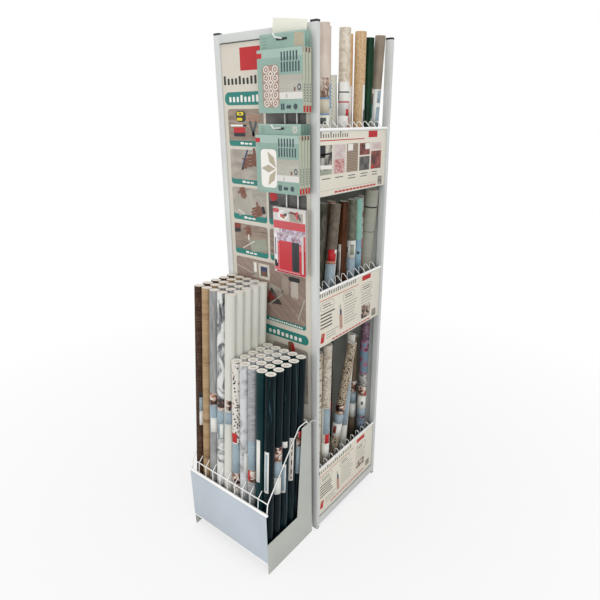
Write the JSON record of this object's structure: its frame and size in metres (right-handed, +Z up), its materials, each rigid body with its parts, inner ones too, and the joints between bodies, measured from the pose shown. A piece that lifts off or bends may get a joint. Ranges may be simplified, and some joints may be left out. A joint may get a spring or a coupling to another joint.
{
  "type": "display stand for rolls of film",
  "caption": "Free-standing white steel display stand with a printed front, open side trays and a front bin, stocked with rolls of decor film and hanging flat packs.",
  "frame": {"origin": "middle of the stand's footprint, on the floor", "axes": "+X to the right of the printed front, where the trays open; +Y from the bin at the front to the back; +Z up"},
  "size_m": [0.424, 0.713, 1.8282],
  "materials": {
    "bin_steel": "satin white powder coat",
    "black_plastic": "moulded",
    "film_short_green": "film, gloss",
    "film_short_navy": "film, gloss",
    "film_short_pale_marble": "printed film, satin",
    "film_short_silver": "textured film, satin",
    "film_short_terrazzo": "printed film, satin",
    "film_tall_bold_marble": "printed film, satin",
    "film_tall_dark_wood": "printed film, satin",
    "film_tall_grey": "printed film, satin",
    "film_tall_light_wood": "printed film, satin",
    "film_tall_white": "film, matt",
    "film_tray_lower": "printed film, satin",
    "film_tray_middle": "printed film, satin",
    "film_tray_top": "printed film, satin",
    "frame_steel": "satin white powder coat",
    "pack_print_lower": "printed carton, satin",
    "pack_print_upper": "printed carton, satin",
    "plain_card": "plain, matt",
    "printed_card_lower": "printed, matt",
    "printed_card_middle": "printed, matt",
    "printed_card_top": "printed, matt",
    "printed_front": "printed, matt",
    "rivet_aluminium": "plain",
    "rod_steel": "gloss white powder coat",
    "sheet_steel": "satin white powder coat",
    "tool_pack_print": "printed card with a clear bag"
  },
  "bodies": {
    "root": {"base_rails_across": "frame_steel", "base_rails_along": "frame_steel", "bin_cross_wires": "rod_steel", "bin_floor": "bin_steel", "bin_front_panel": "bin_steel", "bin_front_rod": "rod_steel", "bin_hooks": "rod_steel", "bin_rivets": "rivet_aluminium", "bin_side_left": "bin_steel", "bin_side_right": "bin_steel", "bin_side_wires": "rod_steel", "bin_slot_wires": "rod_steel", "front_panel": "printed_front", "front_top_rail": "frame_steel", "header_card": "plain_card", "left_panel": "sheet_steel", "post_caps": "black_plastic", "post_feet": "black_plastic", "post_front_left": "frame_steel", "post_front_right": "frame_steel", "post_rear_left": "frame_steel", "post_rear_right": "frame_steel", "rack_bars": "rod_steel", "rack_hooks": "rod_steel", "rack_wires": "rod_steel", "rear_panel": "sheet_steel", "rolls_short_green": "film_short_green", "rolls_short_navy": "film_short_navy", "rolls_short_pale_marble": "film_short_pale_marble", "rolls_short_silver": "film_short_silver", "rolls_short_terrazzo": "film_short_terrazzo", "rolls_tall_bold_marble": "film_tall_bold_marble", "rolls_tall_dark_wood": "film_tall_dark_wood", "rolls_tall_grey": "film_tall_grey", "rolls_tall_light_wood": "film_tall_light_wood", "rolls_tall_white": "film_tall_white", "rolls_tray_lower": "film_tray_lower", "rolls_tray_middle": "film_tray_middle", "rolls_tray_top": "film_tray_top", "tile_packs_lower": "pack_print_lower", "tile_packs_upper": "pack_print_upper", "tool_packs": "tool_pack_print", "tray_card_lower": "printed_card_lower", "tray_card_middle": "printed_card_middle", "tray_card_top": "printed_card_top", "tray_dividers_lower": "rod_steel", "tray_dividers_middle": "rod_steel", "tray_dividers_top": "rod_steel", "tray_floor_lower": "sheet_steel", "tray_floor_middle": "sheet_steel", "tray_floor_top": "sheet_steel", "tray_front_lower": "sheet_steel", "tray_front_middle": "sheet_steel", "tray_front_top": "sheet_steel", "tray_rod_lower": "rod_steel", "tray_rod_middle": "rod_steel", "tray_rod_top": "rod_steel"}
  },
  "joints": []
}
